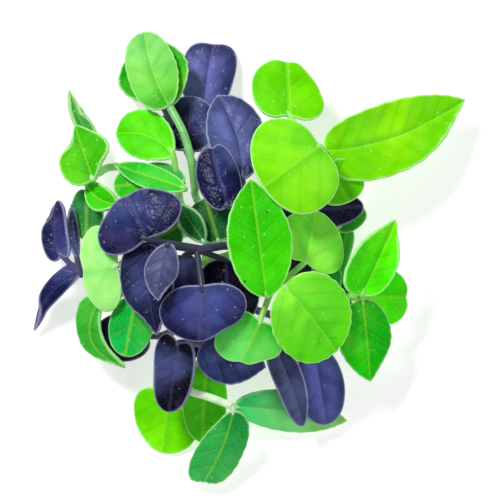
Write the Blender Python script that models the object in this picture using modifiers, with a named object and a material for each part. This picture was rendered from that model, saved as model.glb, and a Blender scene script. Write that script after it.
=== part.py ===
"""Basil microgreens: a loose heap of cut basil seedlings, green and purple, lying on a surface.

Each seedling is one piece that grew: a stem, its leaf stalks and its leaves. The heap is a low dome.
Plan places are X to the right and Y away from the viewer, and Z is up from the surface.
"""

import math
from dataclasses import dataclass

import bmesh
import bpy
from mathutils import Vector

MM = 0.001

# The heap, in millimetres
CROWN_HEIGHT = 17.5
CROWN_PLACE = (-2.0, 0.0)
SPREAD = (27.0, 29.0)

# Each seedling, in millimetres
BLADE_THICKNESS = 0.6
STEM_RADIUS = 0.5
STALK_RADIUS = 0.42
STALK_TAPER = 0.75
SEED_LEAF_DROP = 0.9
LYING_HEIGHT = 0.27
LYING_TURN = 0.4

# Fineness of the faceted solids
CELLS_ALONG = {"seed": 4, "oval": 4, "true": 6, "round": 6, "young": 4}
CELLS_ACROSS = 4
TEETH_PER_TURN = 12

# How wide the notches are round the outline, and where a stalk meets its blade and ends in it
NOTCH_SPAN = 0.22
SINUS_SPAN = 0.35
STALK_MEETS = -0.92
STALK_ENDS = -0.62

# Outline of each kind of leaf: how deep the notches at tip and stalk are, how much it narrows, its teeth
OUTLINES = {
    "seed": {"notch": 0.13, "sinus": 0.17, "narrow_tip": 0.0, "narrow_base": 0.0, "teeth": 0.0},
    "oval": {"notch": 0.0, "sinus": 0.13, "narrow_tip": 0.0, "narrow_base": 0.0, "teeth": 0.0},
    "true": {"notch": -0.05, "sinus": 0.0, "narrow_tip": 0.34, "narrow_base": 0.08, "teeth": 0.03},
    "round": {"notch": 0.0, "sinus": 0.0, "narrow_tip": 0.05, "narrow_base": 0.05, "teeth": 0.028},
    "young": {"notch": -0.06, "sinus": 0.0, "narrow_tip": 0.5, "narrow_base": 0.3, "teeth": 0.0},
}

COLOURS = {
    "green": {"colour": (0.16, 0.52, 0.03), "roughness": 0.5},
    "purple": {"colour": (0.055, 0.035, 0.13), "roughness": 0.4},
}


@dataclass
class Leaf:
    """A leaf by its plan: stalk end, tip and width. depth is how far its middle lies under the dome.

    rise lifts the tip, tilt lifts the left edge, cup lifts both edges, curl lifts both ends, and bow
    swings the middle to the left of the line from stalk to tip, all in millimetres. lobes is how far
    the edge stands out, as a share of its plain outline, at the tip and every eighth turn from it by
    the left."""

    kind: str
    base: tuple
    tip: tuple
    width: float
    depth: float
    cup: float = -0.5
    curl: float = 0.0
    rise: float = 0.0
    tilt: float = 0.0
    bow: float = 0.0
    lobes: tuple = (1, 1, 1, 1, 1, 1, 1, 1)


@dataclass
class Seedling:
    """One shoot: its colour, the stem's points from top to cut end, and its leaves."""

    colour: str
    stem: list
    leaves: list


SEEDLINGS = {
    "green_crown": Seedling(
        "green",
        [(2.7, -4.0, 13.0), (2.6, -3.5, 8.5), (1.4, -2.5, 3.2), (-2.0, -1.2, 0.6), (-6.0, 0.3, 0.33)],
        [
            Leaf("true", (2.0, -4.8), (0.1, 9.3), 8.2, 1.5, cup=0.6, curl=-0.9,
                 lobes=(1, 1, 0.95, 1, 1, 1, 1.02, 1)),
            Leaf("round", (4.0, -3.3), (10.7, -11.6), 10.5, 1.3, cup=-0.9, curl=-0.7, bow=0.25,
                 lobes=(1, 0.97, 1, 1.1, 1, 0.95, 1, 1.08)),
            Leaf("seed", (1.5, -7.2), (-1.3, -13.0), 8.0, 3.4,
                 lobes=(1.08, 0.8, 1, 1, 1, 1.1, 0.97, 1.25)),
            Leaf("oval", (6.7, -1.0), (8.3, 5.9), 8.0, 3.9, lobes=(1, 1, 1, 1, 1, 1.38, 1.04, 0.9)),
        ],
    ),
    "green_right": Seedling(
        "green",
        [(13.7, -4.9, 8.4), (10.6, -4.7, 4.2), (7.6, -4.6, 1.2), (4.4, -4.6, 0.33)],
        [
            Leaf("true", (13.8, -4.7), (18.0, 4.5), 6.3, 2.6, cup=1.0,
                 lobes=(1, 0.88, 0.95, 1.25, 1, 1, 0.87, 0.82)),
            Leaf("true", (13.9, -5.0), (15.0, -15.1), 7.0, 2.8, cup=-0.6, curl=-0.6,
                 lobes=(1, 0.85, 0.92, 1, 1, 1, 1, 1)),
            Leaf("seed", (14.4, -4.9), (19.9, -4.9), 7.0, 4.4),
            Leaf("seed", (13.0, -4.9), (8.0, -5.3), 6.4, 6.8),
        ],
    ),
    "green_top": Seedling(
        "green",
        [
            (9.1, 13.2, 10.0), (8.3, 11.0, 8.6), (6.0, 7.0, 7.4), (3.0, 3.4, 6.8), (-2.1, 0.6, 5.8),
            (-6.4, -0.8, 4.6), (-7.6, -2.2, 3.2), (-7.4, -3.9, 1.5), (-6.8, -5.6, 0.33),
        ],
        [
            Leaf("true", (9.3, 13.3), (26.4, 19.6), 9.0, 1.7, cup=0.9, rise=2.2, bow=-1.4,
                 lobes=(1, 1, 1.02, 1.08, 1, 1.2, 0.96, 0.95)),
            Leaf("oval", (9.1, 14.3), (1.6, 8.7), 12.6, -0.3, cup=-0.7,
                 lobes=(1.02, 1.08, 1.02, 1.06, 1, 1, 1.03, 1)),
            Leaf("seed", (4.9, 17.0), (4.6, 24.6), 9.1, 2.2,
                 lobes=(1.1, 1.12, 1, 1, 1, 1.2, 0.86, 0.8)),
            Leaf("oval", (9.4, 12.0), (12.3, 6.9), 6.2, 3.2, lobes=(1, 1.12, 1, 1, 1, 1, 1, 1)),
        ],
    ),
    "green_upright": Seedling(
        "green",
        [
            (-9.9, 18.7, 8.4), (-8.2, 15.4, 10.0), (-7.3, 12.0, 10.6), (-6.9, 9.0, 9.8),
            (-6.8, 7.8, 8.0), (-6.2, 6.7, 5.0), (-4.9, 5.9, 1.8), (-3.2, 5.4, 0.33),
        ],
        [
            Leaf("round", (-10.0, 18.9), (-13.2, 28.3), 6.3, 0.6, cup=-0.4, rise=1.2, bow=0.6,
                 lobes=(1, 1.1, 1.02, 1.18, 1, 0.92, 1, 0.98)),
            Leaf("true", (-9.9, 18.9), (-13.1, 27.4), 9.1, 2.6, cup=0.5, rise=0.8, bow=0.6,
                 lobes=(1, 1, 1, 0.9, 1, 0.9, 1, 1)),
        ],
    ),
    "green_upper_left": Seedling(
        "green",
        [(-8.9, 8.8, 8.6), (-8.8, 7.3, 5.0), (-8.3, 6.0, 1.6), (-7.0, 4.5, 0.33)],
        [
            Leaf("true", (-9.5, 12.8), (-16.6, 15.5), 6.2, 3.9, cup=0.2, tilt=-0.4, bow=-1.1,
                 lobes=(1, 1.05, 1, 0.85, 1, 1, 1, 1.3)),
            Leaf("true", (-8.2, 8.6), (-16.7, 11.5), 3.1, 3.6, cup=-0.3, tilt=0.5,
                 lobes=(1, 1, 1, 1, 1.08, 1, 1, 1)),
            Leaf("oval", (-7.9, 9.2), (-13.4, 10.9), 3.4, 5.0),
            Leaf("oval", (-11.6, 9.4), (-17.0, 8.9), 4.4, 4.6, cup=-0.3),
        ],
    ),
    "green_left": Seedling(
        "green",
        [
            (-19.1, 10.5, 6.3), (-17.7, 11.3, 6.1), (-15.6, 11.3, 5.8), (-12.8, 10.2, 4.4),
            (-11.4, 8.4, 2.4), (-10.6, 6.6, 0.9), (-9.9, 4.0, 0.33),
        ],
        [
            Leaf("true", (-19.5, 9.7), (-21.8, 16.4), 6.5, 1.7, cup=0.9,
                 lobes=(1, 0.65, 1.05, 1.25, 1, 0.75, 1, 0.95)),
            Leaf("young", (-20.0, 14.8), (-22.7, 21.0), 3.0, 3.6, cup=0.4, tilt=0.4, bow=0.2,
                 lobes=(1, 0.75, 0.5, 0.9, 1, 1.25, 0.35, 0.45)),
            Leaf("true", (-20.4, 9.3), (-16.4, 6.7), 3.3, 3.4, cup=0.4, bow=-0.7),
            Leaf("oval", (-20.4, 9.0), (-20.4, 2.2), 4.2, 6.3),
        ],
    ),
    "pale_left": Seedling(
        "green",
        [(-13.0, 1.5, 9.0), (-10.2, 2.5, 6.0), (-6.8, 3.3, 2.2), (-3.4, 3.8, 0.33)],
        [
            Leaf("seed", (-16.0, -0.9), (-21.1, -1.5), 10.6, 3.5, cup=-0.7,
                 lobes=(1, 1, 1.06, 1.1, 1, 1, 1, 1)),
            Leaf("seed", (-12.2, 2.2), (-8.6, 4.1), 4.8, 6.6),
        ],
    ),
    "green_lower_left": Seedling(
        "green",
        [(-13.5, -4.0, 7.2), (-12.3, -4.5, 4.4), (-10.9, -4.8, 1.6), (-8.9, -5.0, 0.33)],
        [
            Leaf("oval", (-14.0, -4.6), (-15.6, -12.3), 5.6, 5.0),
            Leaf("true", (-18.6, -5.0), (-15.7, -13.5), 2.9, 5.4, cup=0.3, bow=-2.8,
                 lobes=(1, 1, 1, 1, 1, 1.5, 1.1, 1)),
        ],
    ),
    "green_bottom": Seedling(
        "green",
        [
            (-2.4, -18.4, 6.7), (-5.0, -17.4, 6.8), (-7.6, -16.5, 6.7), (-9.6, -14.7, 5.7),
            (-10.6, -13.3, 3.5), (-10.3, -12.2, 1.1), (-8.7, -11.2, 0.33),
        ],
        [
            Leaf("true", (-2.0, -18.5), (11.8, -20.5), 5.4, 7.8, cup=-0.4, rise=-0.6, bow=0.3),
            Leaf("round", (-2.1, -19.0), (-5.9, -28.2), 5.5, 4.8, cup=-0.7, bow=0.5,
                 lobes=(1, 1.08, 1, 1.17, 1, 0.8, 1, 1.3)),
        ],
    ),
    "green_bottom_left": Seedling(
        "green",
        [(-7.2, -14.2, 5.2), (-6.1, -12.9, 2.5), (-4.9, -11.9, 0.8), (-2.4, -10.8, 0.33)],
        [
            Leaf("oval", (-10.0, -16.6), (-11.2, -24.6), 8.3, 7.9,
                 lobes=(1, 1.05, 1, 0.65, 0.95, 1.25, 0.97, 0.87)),
            Leaf("oval", (-5.3, -12.8), (-6.0, -23.2), 5.6, 6.9),
        ],
    ),
    "green_under_right": Seedling(
        "green",
        [(8.2, 1.2, 6.0), (6.8, 1.2, 3.2), (4.6, 1.5, 1.0), (1.9, 1.9, 0.33)],
        [
            Leaf("oval", (10.6, 3.6), (14.4, 6.0), 2.8, 7.1),
            Leaf("oval", (10.4, -3.6), (12.2, 3.8), 2.6, 8.5, lobes=(1, 1, 1, 1, 1, 1, 0.8, 1.1)),
            Leaf("true", (8.4, 0.0), (10.7, -4.3), 3.6, 5.6),
        ],
    ),
    "green_centre": Seedling(
        "green",
        [(-4.2, 1.4, 8.2), (-3.6, 2.1, 5.0), (-2.2, 2.0, 1.9), (-0.2, 1.6, 0.33)],
        [
            Leaf("young", (-5.6, 1.9), (-8.9, 6.8), 3.0, 5.9, cup=0.4, rise=0.4),
            Leaf("oval", (-3.8, 1.7), (-5.6, 7.5), 6.2, 7.2),
        ],
    ),
    "purple_centre": Seedling(
        "purple",
        [
            (-6.6, 1.0, 12.6), (-4.6, 1.3, 12.2), (-2.7, 1.5, 11.2), (0.6, 1.0, 8.8),
            (2.3, -0.3, 4.8), (2.9, -1.1, 1.6), (4.6, -2.0, 0.33),
        ],
        [
            Leaf("seed", (-12.4, 1.8), (-15.1, 7.9), 11.3, 1.4, cup=-1.0,
                 lobes=(1.1, 0.88, 1, 1.2, 1, 1, 1, 0.95)),
            Leaf("oval", (-5.9, -3.2), (-6.2, -10.3), 10.4, 1.6, cup=-1.0,
                 lobes=(1, 0.78, 1.03, 1.25, 1.1, 1, 1, 1)),
            Leaf("young", (-9.8, 1.9), (-11.2, -5.1), 4.2, 0.2, cup=-0.5, bow=-0.4,
                 lobes=(1, 0.8, 1, 1, 1, 1, 1, 1.05)),
            Leaf("true", (-12.7, 1.9), (-11.6, -9.2), 6.3, 3.1, cup=0.5, bow=-0.35,
                 lobes=(1, 0.85, 1, 1, 1, 1.25, 1.1, 0.87)),
            Leaf("oval", (-8.2, 0.8), (-8.0, -6.5), 4.4, 5.4),
            Leaf("oval", (-3.0, 0.4), (-2.6, -9.0), 8.0, 7.5),
        ],
    ),
    "purple_bottom": Seedling(
        "purple",
        [(-6.9, -10.6, 9.2), (-5.8, -9.8, 6.0), (-4.6, -9.0, 2.6), (-1.6, -8.6, 0.33)],
        [
            Leaf("oval", (-8.8, -9.8), (-10.1, -19.3), 5.0, 4.3, cup=0.5, rise=0.3,
                 lobes=(1, 1, 1, 1.1, 1, 1.35, 1.05, 1.05)),
            Leaf("true", (-6.2, -10.9), (1.7, -13.5), 6.2, 6.0, cup=0.7, bow=-0.6,
                 lobes=(1, 1, 1, 1, 1, 1.15, 1, 1)),
            Leaf("oval", (-6.5, -9.6), (-6.4, -12.4), 3.8, 7.6),
        ],
    ),
    "purple_bottom_right": Seedling(
        "purple",
        [(5.2, -10.5, 7.6), (4.6, -9.0, 4.0), (3.6, -7.6, 1.1), (0.8, -6.6, 0.33)],
        [
            Leaf("oval", (3.2, -11.0), (6.7, -21.1), 3.7, 5.2, cup=0.2, bow=0.2,
                 lobes=(1, 0.9, 1, 1.1, 1, 1.25, 1, 1)),
            Leaf("oval", (7.9, -11.0), (9.6, -21.0), 6.2, 6.3),
        ],
    ),
    "purple_top": Seedling(
        "purple",
        [(-7.5, 12.5, 6.4), (-6.2, 10.6, 3.8), (-4.4, 9.4, 1.1), (-1.8, 9.0, 0.33)],
        [
            Leaf("oval", (-7.9, 12.9), (-7.3, 20.3), 7.0, 6.0, cup=-0.3),
            Leaf("oval", (-5.8, 18.2), (-4.6, 27.0), 6.7, 7.2, bow=0.2,
                 lobes=(1.0, 1.18, 1, 1, 1, 1, 1, 1.22)),
            Leaf("oval", (-11.6, 20.7), (-16.5, 22.5), 3.2, 4.6),
        ],
    ),
    "purple_upper": Seedling(
        "purple",
        [(-0.9, 8.2, 9.6), (-1.0, 7.4, 6.0), (-0.7, 6.8, 2.2), (1.6, 6.6, 0.33)],
        [
            Leaf("true", (-0.9, 9.6), (-4.0, 20.1), 7.3, 4.4, cup=0.4, bow=-0.8,
                 lobes=(0.98, 1.03, 1, 1, 1, 1, 1, 1.13)),
            Leaf("seed", (-2.4, 5.6), (-4.8, 14.2), 5.4, 3.0, cup=-0.7, bow=0.3),
        ],
    ),
    "purple_left": Seedling(
        "purple",
        [(-21.2, -2.0, 4.8), (-18.6, -2.2, 2.8), (-15.4, -1.8, 1.0), (-10.6, -0.6, 0.33)],
        [
            Leaf("oval", (-23.4, -0.3), (-24.2, 7.2), 3.4, 4.3, cup=0.3, bow=0.7,
                 lobes=(1, 0.65, 1, 1.25, 1, 1.1, 1, 1)),
            Leaf("young", (-21.6, -0.2), (-22.4, 6.6), 1.3, 4.7, tilt=0.4, bow=0.15),
            Leaf("young", (-21.2, -1.9), (-27.0, -9.0), 2.4, 5.0, cup=-0.3, curl=-0.8, bow=-1.35,
                 lobes=(1, 0.75, 1, 1.2, 1, 1.5, 1, 0.65)),
        ],
    ),
    "purple_under_right": Seedling(
        "purple",
        [(2.2, 4.6, 9.2), (1.5, 4.8, 7.0), (1.2, 4.6, 3.2), (3.2, 4.1, 0.8), (5.4, 3.6, 0.33)],
        [
            Leaf("oval", (2.7, 5.4), (14.2, 6.4), 4.8, 5.4, cup=-0.3),
            Leaf("oval", (4.2, 3.0), (6.9, -4.2), 4.0, 7.0),
        ],
    ),
    "purple_under_left": Seedling(
        "purple",
        [(-11.2, -9.8, 5.6), (-8.6, -8.8, 3.0), (-6.0, -7.7, 1.0), (-2.2, -6.6, 0.33)],
        [
            Leaf("oval", (-12.1, -9.8), (-19.6, -10.0), 6.2, 6.6),
        ],
    ),
}


def dome(x, y):
    """Height of the heap's outer surface, in millimetres, at a place in plan."""
    aside = (x - CROWN_PLACE[0]) / SPREAD[0]
    away = (y - CROWN_PLACE[1]) / SPREAD[1]
    return CROWN_HEIGHT * math.exp(-aside * aside - away * away)


def lying(height):
    """A height kept above the surface, with a smooth turn where a leaf comes to lie on it."""
    over = height - LYING_HEIGHT
    return LYING_HEIGHT + (over + math.sqrt(over * over + LYING_TURN * LYING_TURN)) / 2


def between(a, b, c, d, t):
    """A value or point on the smooth curve from b to c, with a before them and d after; t runs 0 to 1."""
    return (b * 2 + (c - a) * t + (a * 2 - b * 5 + c * 4 - d) * t**2 + (b * 3 - a - c * 3 + d) * t**3) / 2


def outline(leaf, angle):
    """How far a leaf's edge stands out from its ellipse; angle 0 is the tip and pi is the stalk."""
    shape = OUTLINES[leaf.kind]
    from_tip = abs(angle)
    from_stalk = math.pi - from_tip
    eighths = angle / math.tau * len(leaf.lobes)
    first = math.floor(eighths)
    near = [leaf.lobes[(first + step) % len(leaf.lobes)] for step in (-1, 0, 1, 2)]
    edge = between(*near, eighths - first)
    edge -= shape["notch"] * math.exp(-((from_tip / NOTCH_SPAN) ** 2))
    edge -= shape["sinus"] * math.exp(-((from_stalk / SINUS_SPAN) ** 2))
    edge += shape["teeth"] * math.cos(TEETH_PER_TURN * angle)
    return edge


def blade_point(leaf, along, across):
    """A point of a leaf's middle surface, in millimetres, from a point of the unit disc."""
    shape = OUTLINES[leaf.kind]
    spread = along * along + across * across
    edge = 1 + spread * (outline(leaf, math.atan2(across, along)) - 1)
    narrow = shape["narrow_tip"] if along > 0 else shape["narrow_base"]
    base, tip = Vector(leaf.base), Vector(leaf.tip)
    half = (tip - base) / 2
    left = Vector((-half.y, half.x)).normalized()
    sideways = across * edge * (1 - narrow * along * along) * leaf.width / 2
    sideways += leaf.bow * (1 - along * along)
    place = (base + tip) / 2 + half * along * edge + left * sideways
    height = dome(place.x, place.y) - leaf.depth
    height += leaf.rise * along + leaf.tilt * across
    height += leaf.cup * across * across + leaf.curl * along * along
    return Vector((place.x, place.y, lying(height)))


def add_object(name, mesh, collection):
    """A new object for a mesh, in one collection."""
    item = bpy.data.objects.new(name, mesh)
    collection.objects.link(item)
    return item


def mesh_of(item):
    """The finished mesh of an object after its modifiers, in place of the object, which is removed."""
    depsgraph = bpy.context.evaluated_depsgraph_get()
    mesh = bpy.data.meshes.new_from_object(item.evaluated_get(depsgraph), depsgraph=depsgraph)
    mesh.transform(item.matrix_world)
    bpy.data.objects.remove(item)
    return mesh


def blade(name, leaf, collection):
    """A leaf blade: a grid drawn out to the leaf's outline, bent to its form and given its thickness."""
    sheet = bmesh.new()
    bmesh.ops.create_grid(sheet, x_segments=CELLS_ALONG[leaf.kind], y_segments=CELLS_ACROSS, size=1.0)
    for corner in sheet.verts:
        x, y = corner.co.x, corner.co.y
        along = x * math.sqrt(1 - y * y / 2)
        across = y * math.sqrt(1 - x * x / 2)
        corner.co = blade_point(leaf, along, across) * MM
    bmesh.ops.triangulate(sheet, faces=sheet.faces[:])
    mesh = bpy.data.meshes.new(name)
    sheet.to_mesh(mesh)
    sheet.free()
    item = add_object(name, mesh, collection)
    wall = item.modifiers.new("thickness", "SOLIDIFY")
    wall.thickness = BLADE_THICKNESS * MM
    wall.offset = 0.0
    return item


def smooth_route(points, steps):
    """Points along a smooth curve through a few given ones, steps to each stretch."""
    ends = [points[0] * 2 - points[1], *points, points[-1] * 2 - points[-2]]
    route = []
    for a, b, c, d in zip(ends, ends[1:], ends[2:], ends[3:]):
        for step in range(steps):
            route.append(between(a, b, c, d, step / steps))
    return [*route, points[-1]]


def tube(name, route, radius, end_share, rounding, collection):
    """A closed tube along a route in millimetres, thinner towards its far end, as a welded mesh object."""
    curve = bpy.data.curves.new(name, "CURVE")
    curve.dimensions = "3D"
    curve.bevel_depth = radius * MM
    curve.bevel_resolution = rounding
    curve.use_fill_caps = True
    spline = curve.splines.new("POLY")
    spline.points.add(len(route) - 1)
    for number, (point, place) in enumerate(zip(spline.points, route)):
        point.co = (*(place * MM), 1.0)
        point.radius = 1 - (1 - end_share) * number / (len(route) - 1)
    mesh = mesh_of(add_object(name, curve, collection))
    welded = bmesh.new()
    welded.from_mesh(mesh)
    bmesh.ops.remove_doubles(welded, verts=welded.verts[:], dist=0.00001)
    bmesh.ops.recalc_face_normals(welded, faces=welded.faces[:])
    welded.to_mesh(mesh)
    welded.free()
    return add_object(name, mesh, collection)


def stalk_route(leaf, stem):
    """A leaf stalk's points: out of the stem, to the blade's edge, and on inside the blade."""
    start = stem[0]
    if leaf.kind == "seed":
        start = stem[0] + (stem[1] - stem[0]).normalized() * SEED_LEAF_DROP
    edge = blade_point(leaf, STALK_MEETS, 0.0)
    inside = blade_point(leaf, STALK_ENDS, 0.0)
    return smooth_route([start, edge, inside], 2)


def joined(name, body, pieces):
    """The body and all objects of a collection as one solid; the pieces are removed."""
    union = body.modifiers.new("union", "BOOLEAN")
    union.operation = "UNION"
    union.operand_type = "COLLECTION"
    union.collection = pieces
    union.solver = "MANIFOLD"
    mesh = mesh_of(body)
    mesh.name = name
    for piece in list(pieces.objects):
        bpy.data.objects.remove(piece)
    return mesh


def set_down(mesh):
    """Flattens what would dip under the surface, so that soft stems rest on small flat spots."""
    form = bmesh.new()
    form.from_mesh(mesh)
    every = form.verts[:] + form.edges[:] + form.faces[:]
    cut = bmesh.ops.bisect_plane(
        form, geom=every, dist=1e-7, plane_co=(0, 0, 0), plane_no=(0, 0, 1), clear_inner=True
    )
    edges = [piece for piece in cut["geom_cut"] if isinstance(piece, bmesh.types.BMEdge)]
    if edges:
        bmesh.ops.holes_fill(form, edges=edges, sides=0)
    bmesh.ops.triangulate(form, faces=form.faces[:])
    form.to_mesh(mesh)
    form.free()


def leaf_material(name, finish):
    """The plain finish of one colour of seedling."""
    material = bpy.data.materials.new(name)
    material.use_nodes = True
    shader = material.node_tree.nodes["Principled BSDF"]
    shader.inputs["Base Color"].default_value = (*finish["colour"], 1.0)
    shader.inputs["Roughness"].default_value = finish["roughness"]
    shader.inputs["Metallic"].default_value = 0.0
    return material


def seedling(name, plant, material, collection, workshop):
    """One whole seedling: its stem with every stalk and blade grown into it."""
    stem = [Vector(point) for point in plant.stem]
    body = tube(f"{name}_stem", smooth_route(stem, 2), STEM_RADIUS, 1.0, 1, collection)
    for number, leaf in enumerate(plant.leaves):
        blade(f"{name}_blade_{number}", leaf, workshop)
        route = stalk_route(leaf, stem)
        tube(f"{name}_stalk_{number}", route, STALK_RADIUS, STALK_TAPER, 0, workshop)
    mesh = joined(name, body, workshop)
    set_down(mesh)
    mesh.materials.clear()
    mesh.materials.append(material)
    mesh.shade_smooth()
    return add_object(name, mesh, collection)


def main():
    for item in list(bpy.data.objects):
        bpy.data.objects.remove(item)
    heap = bpy.data.collections.new("basil_microgreens")
    workshop = bpy.data.collections.new("workshop")
    bpy.context.scene.collection.children.link(heap)
    bpy.context.scene.collection.children.link(workshop)
    finishes = {name: leaf_material(name, finish) for name, finish in COLOURS.items()}
    for name, plant in SEEDLINGS.items():
        seedling(name, plant, finishes[plant.colour], heap, workshop)
    bpy.data.collections.remove(workshop)


main()
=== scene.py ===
import math
from dataclasses import dataclass

import bpy
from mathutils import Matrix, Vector, noise


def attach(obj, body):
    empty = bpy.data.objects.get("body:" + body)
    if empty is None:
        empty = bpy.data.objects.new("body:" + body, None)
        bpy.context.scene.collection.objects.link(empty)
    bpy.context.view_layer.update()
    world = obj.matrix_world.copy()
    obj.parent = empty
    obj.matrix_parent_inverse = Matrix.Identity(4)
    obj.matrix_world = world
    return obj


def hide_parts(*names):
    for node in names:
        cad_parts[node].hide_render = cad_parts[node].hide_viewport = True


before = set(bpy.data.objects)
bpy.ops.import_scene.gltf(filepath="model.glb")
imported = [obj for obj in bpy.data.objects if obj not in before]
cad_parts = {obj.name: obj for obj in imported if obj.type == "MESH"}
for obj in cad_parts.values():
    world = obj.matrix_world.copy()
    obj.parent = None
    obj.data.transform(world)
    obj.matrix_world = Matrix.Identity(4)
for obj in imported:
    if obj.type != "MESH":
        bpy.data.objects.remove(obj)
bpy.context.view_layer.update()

# The picture: a square frame, seen from straight above, as the photograph sees the heap.
# The floor is a plain pale sheet. Two large soft lamps and a white sky light the leaves.
MM = 0.001
HEAP_MIDDLE = (0.06, 0.94)
CANOPY_HEIGHT = 12.0
CAMERA_DISTANCE = 600.0
CAMERA_NEAREST = 10.0
FRAME_WIDTH = 62.0
SENSOR = 36.0
FLOOR_SIDE = 3000.0
WHITE = (1.0, 1.0, 1.0, 1.0)
SKY_STRENGTH = 0.24
PAPER_GREY = (0.6, 0.6, 0.6, 1.0)
PAPER_ROUGHNESS = 0.9
PAPER_GLOW = 0.62

camera = bpy.data.objects.new("camera", bpy.data.cameras.new("camera"))
bpy.context.scene.collection.objects.link(camera)
camera.data.sensor_width = SENSOR
camera.data.lens = SENSOR * CAMERA_DISTANCE / FRAME_WIDTH
camera.data.clip_start = CAMERA_NEAREST * MM
camera.location = Vector((*HEAP_MIDDLE, CANOPY_HEIGHT + CAMERA_DISTANCE)) * MM
bpy.context.scene.camera = camera
bpy.context.scene.view_settings.view_transform = "Standard"


def soft_lamp(name, place, side, power):
    """A square soft lamp over the heap, turned towards its middle."""
    lamp = bpy.data.objects.new(name, bpy.data.lights.new(name, "AREA"))
    bpy.context.scene.collection.objects.link(lamp)
    lamp.data.size = side * MM
    lamp.data.energy = power
    lamp.location = Vector(place) * MM
    aim = Vector((0, 0, CANOPY_HEIGHT * MM)) - lamp.location
    lamp.rotation_euler = aim.to_track_quat("-Z", "Y").to_euler()


soft_lamp("window", place=(-260.0, 330.0, 420.0), side=130.0, power=3.2)
soft_lamp("fill", place=(330.0, -190.0, 360.0), side=320.0, power=0.9)

sky = bpy.data.worlds.new("sky")
bpy.context.scene.world = sky
sky.use_nodes = True
sky.node_tree.nodes["Background"].inputs["Color"].default_value = WHITE
sky.node_tree.nodes["Background"].inputs["Strength"].default_value = SKY_STRENGTH

bpy.ops.mesh.primitive_plane_add(size=FLOOR_SIDE * MM)
floor = bpy.context.object
floor.name = "floor"
paper = bpy.data.materials.new("white_paper")
paper.use_nodes = True
paper_shader = paper.node_tree.nodes["Principled BSDF"]
paper_shader.inputs["Base Color"].default_value = PAPER_GREY
paper_shader.inputs["Roughness"].default_value = PAPER_ROUGHNESS
paper_shader.inputs["Emission Color"].default_value = WHITE
paper_shader.inputs["Emission Strength"].default_value = PAPER_GLOW
floor.data.materials.append(paper)

# The crown of the heap: a green seedling whose blades lie highest, in the middle of the picture.
# Leaf tissue with a net of veins, a painted highlight along its edge and a waxy top side; the stalks grow
# out of the stem.
# A blade is a sheet drawn to the leaf's outline, bent over the heap and given its thickness.
CROWN_HEIGHT = 17.5
CROWN_PLACE = (-2.0, 0.0)
SPREAD = (27.0, 29.0)
LYING_HEIGHT = 0.27
LYING_TURN = 0.4

BLADE_THICKNESS = 0.42
CELLS = (32, 22)
RIM_POINTS = 120
ON_THE_EDGE = 0.999
PUCKER = 2.0
PUCKER_TURNS = 0.55

TEETH_PER_TURN = 24
NOTCH_REACH = 0.22
SINUS_REACH = 0.35

VEIN_SWEEP = 0.8
VEIN_SHARPNESS = 5
VEIN_FADE = 1.2
SIDE_VEIN_DEPTH = 0.7
RIB_SPREAD = 0.32
MEAN_VEIN_DEPTH = 0.3

STEM_RADIUS = 0.5
STEM_STEPS = 8
STALK_RADIUS = 0.4
STALK_TAPER = 0.55
STALK_STEPS = 6
SEED_LEAF_DROP = 0.9
RIB_STATIONS = ((-0.97, 0.12), (-0.7, 0.42), (-0.3, 0.42), (0.1, 0.36), (0.45, 0.3))
TUBE_ROUNDNESS = 3
WELD = 0.01
SMOOTH_ANGLE = 50.0

SCREEN_GAMMA = 2.2


@dataclass
class Outline:
    """How one kind of leaf differs in plan from an ellipse, as shares of its size.

    pitch is the way from one side vein to the next, in millimetres. notch and sinus are how far the
    edge dips at the tip and at the stalk, narrow_tip and narrow_base how much narrower the ends are,
    and teeth how far the small teeth stand out."""

    pitch: float
    notch: float = 0.0
    sinus: float = 0.0
    narrow_tip: float = 0.0
    narrow_base: float = 0.0
    teeth: float = 0.0


OUTLINES = {
    "seed": Outline(pitch=3.4, notch=0.13, sinus=0.17),
    "oval": Outline(pitch=3.0, sinus=0.13),
    "true": Outline(pitch=2.1, notch=-0.068, narrow_tip=0.34, narrow_base=0.08, teeth=0.012),
    "round": Outline(pitch=2.3, narrow_tip=0.05, narrow_base=0.05, teeth=0.016),
    "young": Outline(pitch=1.5, notch=-0.06, narrow_tip=0.5, narrow_base=0.3),
}


@dataclass
class Leaf:
    """A leaf by its plan: stalk end, tip and width. depth is how far its middle lies under the dome.

    rise lifts the tip, tilt lifts the left edge, cup lifts both edges, curl lifts both ends, and bow
    swings the middle to the left, all in millimetres. lobes is how far the edge stands out, as a share
    of its plain outline, at the tip and every eighth turn from it by the left. tone is its colour on
    screen, tip_shaded_tone that of its tip where it differs, and quilt is how deep its veins sink.
    The change of tone from stalk to tip is painted light and shade, as the light falls along the leaf."""

    kind: str
    base: tuple
    tip: tuple
    width: float
    depth: float
    tone: int
    cup: float = -0.5
    curl: float = 0.0
    rise: float = 0.0
    tilt: float = 0.0
    bow: float = 0.0
    quilt: float = 0.1
    tip_shaded_tone: int = None
    lobes: tuple = (1, 1, 1, 1, 1, 1, 1, 1)


def dome(x, y):
    """Height of the heap's outer surface, in millimetres, at a place in plan."""
    aside = (x - CROWN_PLACE[0]) / SPREAD[0]
    away = (y - CROWN_PLACE[1]) / SPREAD[1]
    return CROWN_HEIGHT * math.exp(-aside * aside - away * away)


def lying(height):
    """A height kept above the surface, with a smooth turn where a leaf comes to lie on it."""
    over = height - LYING_HEIGHT
    return LYING_HEIGHT + (over + math.hypot(over, LYING_TURN)) / 2


def between(a, b, c, d, t):
    """A value or point at t, from 0 to 1, on the smooth curve from b to c; a is before it and d after."""
    slope = c - a
    bend = a * 2 - b * 5 + c * 4 - d
    twist = b * 3 - a - c * 3 + d
    return (b * 2 + slope * t + bend * t**2 + twist * t**3) / 2


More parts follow.
